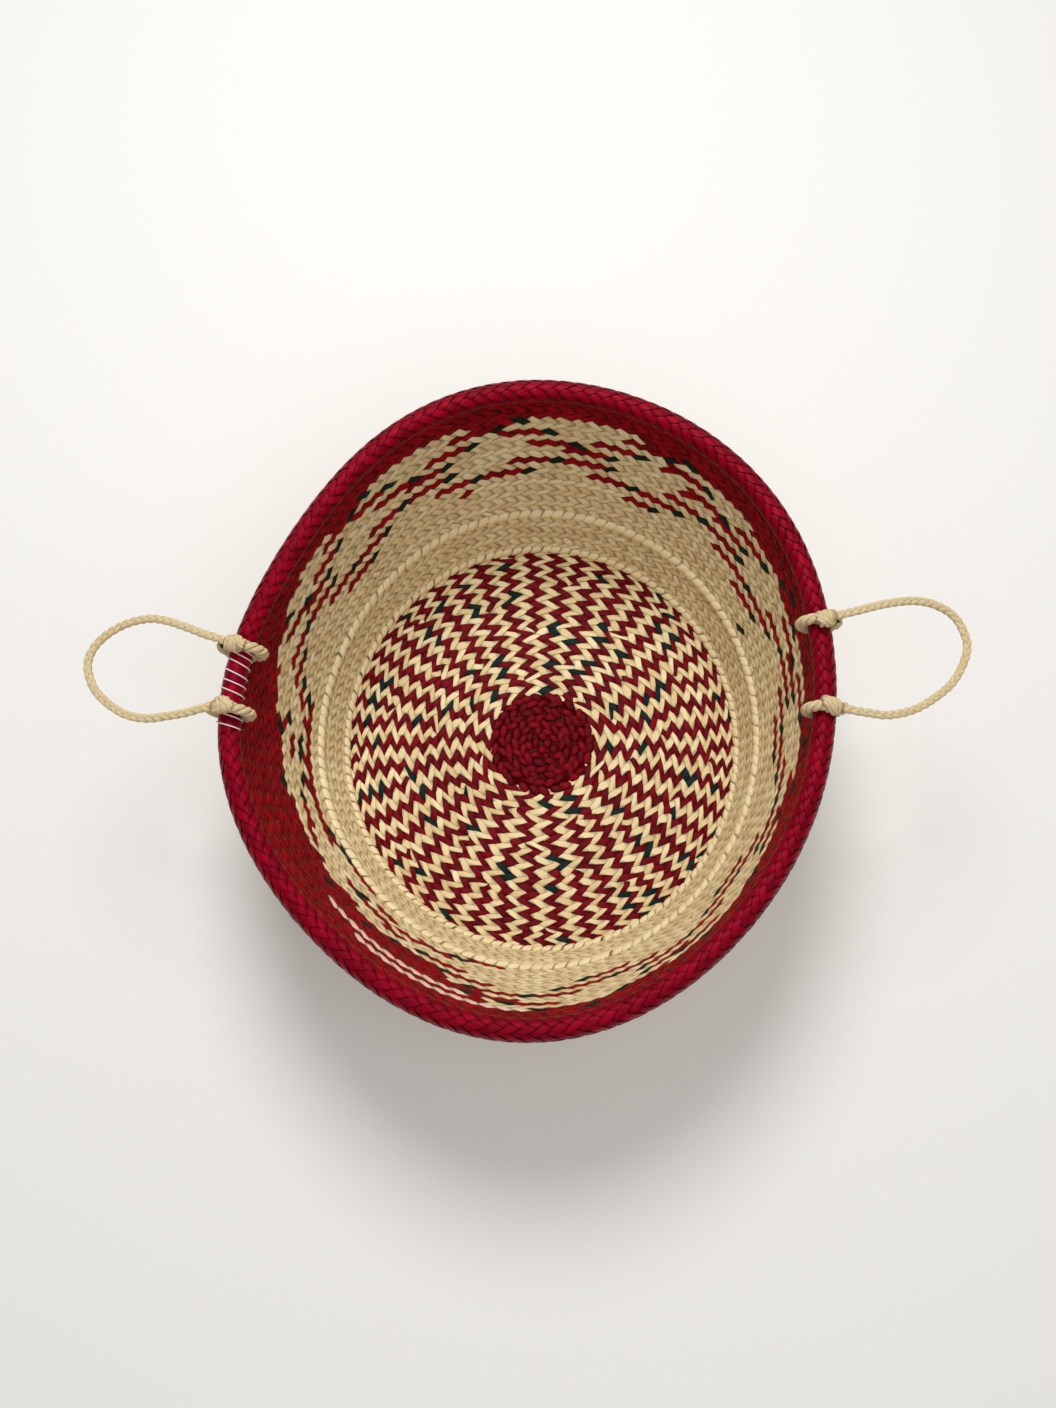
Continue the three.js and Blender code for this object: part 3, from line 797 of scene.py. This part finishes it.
# The strips of both families. place gives a point from angle, level and lift, colour the dye of a float.
def weaveMesh(name, cells, place, colour, seed, sizes, skip=None):
    level, stripA, stripB, cornerAngle, cornerLevel = cells
    rng = np.random.default_rng(seed)
    stripTone = rng.random((2, max(stripA.max(), stripB.max()) + 1))
    steps, half, crown = np.array(sizes["steps"]), sizes["thickness"] / 2, sizes["crown"]
    parts = []
    total = 0
    for family, strip in enumerate((stripA, stripB)):
        index = np.arange(len(level)) if skip is None else np.nonzero(~skip)[0]
        index = index[np.lexsort((level[index], strip[index]))]
        newRun = np.append(True, (np.diff(strip[index]) != 0) | (np.diff(level[index]) != 1))
        endRun = np.append(newRun[1:], True)
        inner = [np.ones(len(index), bool)] * (len(steps) - 2)
        used = np.stack([newRun] + inner + [endRun], axis=-1).ravel()
        cell = np.repeat(index, len(steps))[used]
        run = np.tile(steps, len(index))[used]
        isLast = run == 1
        over = (level[cell] % 4 < 2) == (family == 0)
        bend = np.abs(level[cell] % 2 + run - 1)  # 0 in the middle of a float, 1 at its ends
        height = sizes["reach"] * (1 - bend ** sizes["roundness"]) * np.where(over, 1, -1)
        floatKey = strip[cell] * 1000 + level[cell] // 2
        pick = np.random.default_rng(seed + 7 + family).random(floatKey.max() + 1)[floatKey]
        tilt = (pick - 0.5) * floats["tilt"]
        shingle = sizes["shingle"] * over
        # pick times a prime, less its whole part, is another random share of the same float
        low = sizes["gap"] + sizes["looseness"] * ((pick * 53) % 1) ** 4
        high = 1 - sizes["gap"] - sizes["looseness"] * ((pick * 71) % 1) ** 4
        section = [(low, half + shingle), (0.5, half + crown), (high, half - shingle),
                   (high, -half - shingle), (0.5, -half - crown), (low, -half + shingle)]
        rings = np.zeros((len(cell), len(section), 3))
        for k, (across, lift) in enumerate(section):
            p, q = (run, across) if family == 0 else (across, run)
            weights = np.stack([(1 - p) * (1 - q), p * (1 - q), (1 - p) * q, p * q], axis=-1)
            theta = np.sum(weights * cornerAngle[cell], axis=-1)
            at = np.sum(weights * cornerLevel[cell], axis=-1)
            rings[:, k] = place(theta, at, height + lift + tilt * (across - 0.5) * 2)
        theta = cornerAngle[cell].mean(axis=-1)
        floatTheta = np.bincount(floatKey, weights=theta)[floatKey] / np.bincount(floatKey)[floatKey]
        dye = colour(family, strip[cell], level[cell] // 2, floatTheta, pick)
        tone = stripTone[family][strip[cell]] * floats["stripTone"]
        tone = tone + (1 - floats["stripTone"]) * ((pick * 97) % 1)
        dye = np.where(over, dye, np.append(dye[1:], dye[-1]))
        tone = np.where(over, tone, np.append(tone[1:], tone[-1]))
        tone = np.where(dye == dyes["bright"], floats["brightTone"], tone)
        stepLength = np.append(0, np.linalg.norm(np.diff(rings.mean(axis=1), axis=0), axis=1))
        stepLength[np.append(False, isLast[:-1])] = floats["breakLength"]
        along = np.cumsum(stepLength) + floats["familyShift"] * family
        follow = np.where(isLast, -1, np.arange(len(cell)) + 1 + total)
        # Painted shade along each strip's long edges and towards the ends of each float, where it dives under
        # the crossing strip
        paintedLitShare = (1 - bend ** 2)[:, None] * np.array([0, 1, 0, 0, 1, 0])
        parts.append((rings, follow, dye, tone, along, paintedLitShare))
        total += len(cell)
    rings, follow, dye, tone, along, paintedLitShare = [np.concatenate(column) for column in zip(*parts)]
    return ringMesh(name, rings, follow, {"dye": dye, "tone": tone}, along, (0, 2, 3, 5), paintedLitShare)


# Base

base = {
    "levels": 48, "step": 0.00245, "edgeStep": 0.0017, "narrowFrom": 0.112, "edge": 0.142, "height": 0.0012,
    "underRosette": 0.003, "stripsPerMetre": 739.0, "greenShare": 0.11,
}


# The radius of each level, from just under the rosette's edge to just under the ridge.
def baseRadii():
    radii = [basket["rosetteRadius"] - base["underRosette"]]
    narrowing = base["edge"] - base["narrowFrom"]
    for _ in range(base["levels"]):
        late = np.clip((radii[-1] - base["narrowFrom"]) / narrowing, 0, 1)
        radii.append(radii[-1] + base["step"] + (base["edgeStep"] - base["step"]) * late)
    return np.array(radii)


def addBase():
    radii = baseRadii()
    counts = [2 * int(base["stripsPerMetre"] * radius / 2) for radius in radii]
    rows, parityA, parityB = growLattice(counts, 11, weave["jitter"])

    def place(theta, level, lift):
        radius = np.interp(level, np.arange(len(radii)), radii)
        oval = baseEdge(theta) / basket["baseRadius"]
        radius = radius * (1 + (oval - 1) * radius / base["edge"])
        return around(theta, radius, base["height"] + lift)

    def colour(family, strip, row, theta, pick):
        parity = (parityA if family == 0 else parityB)[strip]
        dyed = np.where(pick < base["greenShare"], dyes["green"], dyes["deepCrimson"])
        return np.where(parity == 0, dyes["natural"], dyed)

    cells = latticeCells(rows, range(1, len(radii) - 1))
    mesh = weaveMesh("baseWeave", cells, place, colour, 21, weave)
    addPiece(mesh, weaveLeaf, "mixed_weave", "base_mat")
    print(f"base: {len(counts)} levels, {counts[0]} to {counts[-1]} strips, edge {radii[-1] * 1000:.1f} mm,",
          f"{len(mesh.polygons)} faces")


addBase()

# Wall

wall = {
    "teeth": 120, "turned": 0.75, "firstShare": 0.028, "levelShare": 0.01725, "firstLevel": 2, "topRow": 24,
    "levels": 60, "eyeHole": 0.0025,
    # name, first and last level, slot and the model's node
    "bands": [("lowerWeave", 2, 13, "straw_weave", "lower_wall_band"),
              ("middleWeave", 16, 25, "straw_weave", "middle_wall_band"),
              ("patternWeave", 26, 49, "mixed_weave", "pattern_band"),
              ("redWeave", 50, 56, "crimson_weave", "red_band")],
    # angle in degrees and share of the wall's height where the red starts
    "redLine": [(0, 0.76), (15, 0.779), (39, 0.779), (41, 0.813), (69.5, 0.813), (71, 0.848), (95, 0.848),
                (96.5, 0.813), (104, 0.813), (105.5, 0.848), (134, 0.848), (136, 0.813), (141.5, 0.813),
                (143, 0.848), (152, 0.848), (160, 0.79), (169, 0.744), (175, 0.65), (181, 0.606),
                (187, 0.575), (194, 0.571), (199, 0.537), (208, 0.537), (212, 0.505), (219, 0.537),
                (223, 0.5), (228, 0.537), (237, 0.537), (240, 0.505), (247, 0.537), (252, 0.6), (257, 0.62),
                (261, 0.77), (270, 0.77), (282, 0.73), (300, 0.76), (320, 0.72), (340, 0.72), (360, 0.76)],
    "greenReach": 0.06,  # how far into the red a dark green float still shows
    # rows of the pattern from the top, and where their dashes start, in teeth of the repeat
    "dashes": {0: (3,), 1: (1.5,), 2: (5,), 3: (11.5,), 4: (7,), 5: (9.5,), 7: (5.5, 9.5), 9: (3.5, 11.5),
               11: (1.5,)},
    "dashOrigin": 148.5, "repeat": 12, "dashLength": 3, "dashSlip": 0.45,
    # from this row down the repeat is broken between these angles
    "brokenRow": 8, "broken": (174, 222),
    # floats that don't follow the repeat: row from the top, first and last angle in degrees
    "floats": {
        "crimson": [(8, 180.5, 184.5), (10, 182, 189.5), (10, 205, 209), (11, 172, 175), (11, 200.5, 205),
                    (11, 232, 239), (12, 174, 177.5), (12, 219, 223), (12, 226.5, 235), (13, 177.5, 180.5),
                    (13, 187.5, 191.5), (13, 194, 197), (13, 235, 242), (14, 175, 184.5), (14, 185, 208.5),
                    (14, 227, 235), (14, 241, 249), (15, 207.5, 212), (16, 215, 226), (16, 252, 260)],
        "green": [(9, 179, 182), (11, 197.5, 200.5), (12, 184, 188), (12, 191.5, 194), (12, 223, 226.5),
                  (13, 172, 175), (13, 223, 226.5), (15, 204, 207.5), (15, 248, 252), (16, 211, 215)],
        "pale": [(2, 232, 264), (4, 223, 255)],
        "bright": [(6, 90, 106), (11, 70, 108)],
    },
}


def wallShare(level):
    return wall["firstShare"] + wall["levelShare"] * (level - wall["firstLevel"])


# Red above the red line, and below it dashes of crimson floats that end in a dark green one.
def wallDye(family, strip, row, theta, pick):
    degrees = np.degrees(theta) % 360
    fromTop = wall["topRow"] - row
    tooth = (wall["dashOrigin"] - degrees) / (360 / wall["teeth"])
    first, last = wall["broken"]
    length, repeat = wall["dashLength"], wall["repeat"]
    dye = np.full(len(theta), dyes["natural"])
    for dashRow, starts in wall["dashes"].items():
        regular = (dashRow < wall["brokenRow"]) | (degrees < first) | (degrees > last)
        here = (fromTop == dashRow) & regular
        for start in starts:
            place = np.floor((tooth - start) % repeat + wall["dashSlip"]) % repeat
            dye = np.where(here & (place < length), dyes["crimson"], dye)
            dye = np.where(here & (place == length), dyes["green"], dye)
    share = wallShare(2 * row + 0.5)
    line = np.interp(degrees, *zip(*wall["redLine"]))
    isRed = (share > line) & ((dye != dyes["green"]) | (share > line + wall["greenReach"]))
    dye = np.where(isRed, dyes["crimson"], dye)
    for dyeName, spans in wall["floats"].items():
        for floatRow, low, high in spans:
            dye = np.where((fromTop == floatRow) & (degrees > low) & (degrees < high), dyes[dyeName], dye)
    return dye


# The crossings that a rope eye passes through.
def eyeHoles(cells):
    level, _, _, cornerAngle, cornerLevel = cells
    centre = wallPoint(cornerAngle.mean(axis=-1), wallShare(cornerLevel.mean(axis=-1)), 0.0)
    skip = np.zeros(len(level), bool)
    for handle in handles.values():
        middle, facing, reach = handleFrame(handle)
        local = (centre - middle) @ turnZ(facing)
        for sign in (-1, 1):
            flat = np.hypot(local[:, 0], local[:, 2]) - eyeRing(handle)
            skip |= np.hypot(flat, local[:, 1] - sign * reach) < wall["eyeHole"]
    return skip


def addWall():
    counts = [wall["teeth"]] * wall["levels"]
    rows, _, _ = growLattice(counts, 5, weave["jitter"], radians(wall["turned"]))

    def place(theta, level, lift):
        return wallPoint(theta, wallShare(level), lift)

    for name, low, high, slot, node in wall["bands"]:
        cells = latticeCells(rows, range(low, high + 1))
        mesh = weaveMesh(name, cells, place, wallDye, 31, weave, eyeHoles(cells))
        addPiece(mesh, weaveLeaf, slot, node)
        print(f"{name}: {len(mesh.polygons)} faces")


addWall()

# Ridges: a strip wound over a row of the weave, at the foot of the wall and a quarter of the way up

ridges = {
    "baseRidgeWinding": {"node": "base_ridge", "share": 0.009, "proud": 0.0028, "tall": 0.0033,
                         "width": 0.009},
    "wallRidgeWinding": {"node": "wall_ridge", "share": 0.2438, "proud": 0.003, "tall": 0.0041,
                         "width": 0.0096},
}
winding = {
    "turns": 130, "steps": 18, "thickness": 0.0007, "crown": 0.0012, "tuck": 0.0013, "notch": 0.12,
    "wobble": 0.05, "swell": 0.06, "spread": 1.05,
    # the strip's section: share of its width, and 1 on its underside
    "section": [(0, 0), (0.12, 0), (0.5, 0), (0.84, 0), (1, 0), (1, 1), (0.5, 1), (0, 1)],
}


def addRidge(name, ridge):
    rng = np.random.default_rng(17)
    turns, steps = winding["turns"], winding["steps"]
    turn = 2 * pi * np.arange(turns * steps) / steps
    wobble = np.repeat(rng.normal(0, winding["wobble"], turns), steps)
    swell = 1 + winding["swell"] * sin(turn / 7.3) * sin(turn / 3.1)
    upper = np.clip(sin(turn), 0, 1)
    rings = []
    for edge, under in winding["section"]:
        theta = -(turn / turns + radians(3) * wobble)
        width = ridge["width"] * (1 - winding["notch"] * upper)
        theta = theta - (edge - 0.5) * width / (baseEdge(theta) * winding["spread"])
        centre = wallPoint(theta, ridge["share"], 0.0)
        inwards = wallPoint(theta, ridge["share"], 1.0) - centre
        upwards = unit(np.cross(inwards, np.cross(np.array([0, 0, 1.0]), inwards)))
        rise = winding["crown"] * (1 - (2 * edge - 1) ** 2) - winding["tuck"] * edge
        rise = rise - winding["thickness"] * under
        reach = inwards * cos(turn)[:, None] * (ridge["proud"] * swell + rise)[:, None]
        rings.append(centre + reach + upwards * sin(turn)[:, None] * (ridge["tall"] + rise))
    values = ringLooks(turns * steps, np.repeat(0.7 + 0.3 * rng.random(turns), steps), "natural")
    light = np.clip(1.15 - 1.2 * upper ** 2, 0, 1)  # less light on top, where the turns lie close
    # Painted shade at both edges of the strip, where one turn tucks under the next, deeper on top of the
    # ridge
    paintedLitShare = np.array([0, 0.5, 1, 0.02, 0, 0, 0, 0]) * light[:, None]
    rings, follow = np.stack(rings, axis=1), chain([turns * steps], closed=True)
    mesh = ringMesh(name, rings, follow, values, turn * ridge["tall"], (0, 4), paintedLitShare)
    addPiece(mesh, weaveLeaf, "straw_weave", ridge["node"])


for ridgeName, ridgeSizes in ridges.items():
    addRidge(ridgeName, ridgeSizes)
print("ridges wound")

# Rosette: rings of short crimson floats round the start of the weave

rosette = {
    "rings": 7, "innerRadius": 0.0045, "ringStep": 0.005, "spacing": 0.0077,
    "length": 0.0108, "width": 0.0056, "thickness": 0.0018, "lean": 24, "height": 0.0009, "rise": 0.0015,
    "groundRadii": (0.0001, 0.012, 0.024, 0.0352), "groundHeights": (0.0006, 0.0016),
}


def addRosette():
    rng = np.random.default_rng(41)
    rings, tones = [], []
    share = np.linspace(0, 1, 9)
    arch = sin(pi * share) ** 0.7
    for ring in range(rosette["rings"]):
        radius = rosette["innerRadius"] + rosette["ringStep"] * ring
        count = max(4, int(round(2 * pi * radius / rosette["spacing"])))
        for k in range(count):
            theta = 2 * pi * (k + 0.37 * ring) / count + rng.normal(0, 0.05)
            lean = radians(rosette["lean"] * (1 if ring % 2 else -1) + rng.normal(0, 9))
            length = rosette["length"] * rng.uniform(0.85, 1.1) * (0.75 if ring < 2 else 1.0)
            width = rosette["width"] * rng.uniform(0.85, 1.1)
            middle = np.array([cos(theta), sin(theta)]) * (radius + rng.normal(0, 0.0004))
            along = np.array([-sin(theta + lean), cos(theta + lean)])
            line = middle + along * (length * (share - 0.5))[:, None]
            height = rosette["height"] + rosette["rise"] * arch + rng.normal(0, 0.0001)
            path = np.concatenate([line, height[:, None]], axis=1)
            _, sideways, top = framesAlong(path)
            thickness = rosette["thickness"] * (0.5 + 0.5 * arch)
            rings.append(tubeRings(path, width * (0.55 + 0.45 * arch), thickness, 8, sideways, top))
            tones.append(np.full(len(share), rng.random()))
    values = ringLooks(len(tones) * len(share), np.concatenate(tones), "deepCrimson")
    # Painted shade along the sides of each float and at its ends
    paintedLitShare = np.tile(sin(pi * share) ** 0.5, len(rings))[:, None]
    paintedLitShare = paintedLitShare * np.array([0, 0.1, 0.25, 0.1, 0, 0, 0, 0])
    mesh = ringMesh("rosetteFloats", np.concatenate(rings), chain([len(share)] * len(rings)), values,
                    np.tile(share * rosette["length"], len(rings)), paintedLitShare=paintedLitShare)
    addPiece(mesh, weaveLeaf, "crimson_weave", "start_rosette")
    disc = np.linspace(0, 2 * pi, 48, endpoint=False)
    low, high = rosette["groundHeights"]
    plate = [around(disc, radius, low) for radius in rosette["groundRadii"]]
    plate += [around(disc, radius, high) for radius in rosette["groundRadii"][::-1]]
    # A crimson plate under the floats with the darkest tone; lacking the attribute of how open it is, it
    # takes the material's full painted shade, so the gaps between floats read as shade
    values = ringLooks(len(plate), 0.1, "crimson")
    addPiece(ringMesh("rosetteGround", np.array(plate), chain([len(plate)]), values), weaveLeaf,
             "crimson_weave")


addRosette()
print("rosette wound")

# Rim: wide strips of two sets, plaited round it in rows

plait = {
    "teeth": 132, "levels": 15, "rowTurn": 51.4, "spine": 14.0, "radius": 0.0061, "jitter": 0.06,
    "sunk": 0.001, "sinkWithin": 1.5,  # under the splice, and over how many degrees
    "filling": 0.0049,
    "sizes": {"reach": 0.0005, "thickness": 0.0007, "crown": 0.0003, "shingle": 0.00022, "gap": 0.01,
              "looseness": 0.05, "roundness": 12, "steps": (0.0, 0.09, 0.5, 0.91, 1.0)},
}


# Rows of floats round the rim, with the line between two of them near its top.
def addPlait():
    rows, _, _ = growLattice([plait["teeth"]] * plait["levels"], 53, plait["jitter"])

    def place(theta, level, lift):
        degrees = np.degrees(theta) % 360
        within = np.clip((degrees - lashing["from"]) / plait["sinkWithin"], 0, 1)
        within = within * np.clip((lashing["to"] - degrees) / plait["sinkWithin"], 0, 1)
        angle = radians(plait["spine"] + (level - plait["levels"] / 2) * plait["rowTurn"] / 2)
        return rimPoint(theta, angle, plait["radius"] - plait["sunk"] * within + lift)

    def colour(family, strip, row, theta, pick):
        return np.full(len(theta), dyes["crimson"])

    cells = latticeCells(rows, range(1, plait["levels"] - 1))
    mesh = weaveMesh("rimPlait", cells, place, colour, 57, plait["sizes"])
    addPiece(mesh, plaitLeaf, "crimson_plait", "rim_braid")
    print(f"rim plait: {len(mesh.polygons)} faces")
    theta, turn = [np.linspace(0, 2 * pi, count, endpoint=False) for count in (240, 16)]
    tube = np.stack([rimPoint(theta, angle, plait["filling"]) for angle in turn], axis=1)
    # Tone 0 and no attribute of how open it is: the tube takes the darkest crimson and the full painted shade
    # of the plait material, so gaps between the plait's strips look dark
    values = ringLooks(len(theta), 0.0, "crimson")
    mesh = ringMesh("rimFilling", tube, chain([len(theta)], closed=True), values)
    addPiece(mesh, plaitLeaf, "crimson_plait")


addPlait()

splice = {
    "pitch": 0.0098, "width": 0.0125, "turnSteps": 30, "turnLength": 0.046, "sunk": 0.0002, "lap": 0.0006,
    "crown": 0.0002, "ripple": 0.0001, "thickness": 0.0007,
    # the strip's section: share of its width, and 1 on its underside
    "section": [(0, 0), (0.25, 0), (0.5, 0), (0.75, 0), (1, 0), (1, 1), (0.5, 1), (0, 1)],
}


# A wide strip wound over the place where the plait's ends meet.
def addSplice():
    start, stop = radians(lashing["from"]), radians(lashing["to"])
    middle = (start + stop) / 2
    length = (stop - start) * rimLine(middle) - splice["width"]
    turns = length / splice["pitch"]
    steps = int(turns * splice["turnSteps"])
    share = np.linspace(0, 1, steps)
    along = length * share - length / 2
    angle = 2 * pi * turns * share
    rings = []
    for edge, under in splice["section"]:
        theta = middle + (along + (edge - 0.5) * splice["width"]) / rimLine(middle)
        rise = splice["crown"] * sin(pi * edge) - splice["lap"] * (1 - edge)
        rise = rise + splice["ripple"] * sin(3 * angle)
        radius = lashing["wrapTube"] - splice["sunk"] + rise - splice["thickness"] * under
        rings.append(rimPoint(theta, angle, radius))
    values = ringLooks(steps, 0.45 + 0.35 * sin(angle * 0.37), "crimson")
    # Painted shade along the lowered edge that tucks under the turn before it, and on the underside
    paintedLitShare = np.array([0, 0.5, 1, 1, 0.8, 0, 0, 0])
    mesh = ringMesh("spliceStrip", np.stack(rings, axis=1), chain([steps]), values,
                    share * turns * splice["turnLength"], (0, 4), paintedLitShare)
    addPiece(mesh, plaitLeaf, "crimson_plait", "rim_splice_wrap")


addSplice()


# White thread wound over the splice: it slants across the top of the rim and runs straight back below it.
def addThread():
    turns, pitch = lashing["turns"], lashing["pitch"]
    steps = 40 * turns
    middle = radians((lashing["from"] + lashing["to"]) / 2)
    start = middle - turns * pitch / 2 / rimLine(middle)
    share = np.arange(steps + 1) / steps
    turn = 2 * pi * turns * share + pi / 2
    apart = turns * pitch * (share ** lashing["crowding"] + lashing["unevenness"] * sin(17 * share))
    theta = start + (apart + lashing["sway"] * sin(turn)) / rimLine(middle)
    path = rimPoint(theta, -turn, lashing["wrapTube"] + lashing["thread"] / 2)
    _, sideways, top = framesAlong(path, up=(0.3, 0.9, 0.2))
    rings = tubeRings(path, lashing["thread"], lashing["thread"], 8, sideways, top)
    mesh = ringMesh("lashingCotton", rings, chain([len(path)]), None, lengthAlong(path))
    addPiece(mesh, threadCotton, "white_thread", "lashing_thread")


addThread()
print("splice wrapped and lashed")

# Carried-over model piece: the bundle of strip ends inside the rim

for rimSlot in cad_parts["rim_core"].material_slots:
    rimSlot.link = "OBJECT"
    rimSlot.material = cloudyMaterial("stripEndBundle")

# Floor, lights and world

studio = {
    "floor": linear(238, 236, 232), "floorReach": 6.0, "world": 0.35,
    "key": {"place": (-0.1, 0.8, 1.5), "size": 0.7, "power": 18.0},
    "fill": {"place": (0.2, -0.6, 1.7), "size": 1.4, "power": 8.0},
    "aim": (0, 0, 0.05),
}


def addFloor():
    half = studio["floorReach"]
    mesh = bpy.data.meshes.new("floor")
    corners = [(-half, -half, 0), (half, -half, 0), (half, half, 0), (-half, half, 0)]
    mesh.from_pydata(corners, [], [(0, 1, 2, 3)])
    floor = addObject("floor", mesh)
    floor.location.z = min(0.0, cadBox[0].z) - 0.0002
    material, _, shader = startMaterial("paleFloor", 0.2)
    shader.inputs["Base Color"].default_value = studio["floor"]
    shader.inputs["Roughness"].default_value = 0.9
    mesh.materials.append(material)


def addLamp(name):
    data = bpy.data.lights.new(name, "AREA")
    data.shape = "DISK"
    data.size = studio[name]["size"]
    data.energy = studio[name]["power"]
    lamp = addObject(name, data)
    lamp.location = studio[name]["place"]
    towards = np.array(studio["aim"]) - np.array(studio[name]["place"])
    flat = np.hypot(towards[0], towards[1])
    lamp.rotation_euler = (np.arctan2(flat, -towards[2]), 0, np.arctan2(towards[1], towards[0]) - pi / 2)


def addWorld():
    world = bpy.data.worlds.new("studio")
    world.use_nodes = True
    background = world.node_tree.nodes["Background"]
    background.inputs["Color"].default_value = (1, 1, 1, 1)
    background.inputs["Strength"].default_value = studio["world"]
    bpy.context.scene.world = world


addFloor()
addLamp("key")
addLamp("fill")
addWorld()
bpy.context.scene.view_settings.view_transform = "Standard"
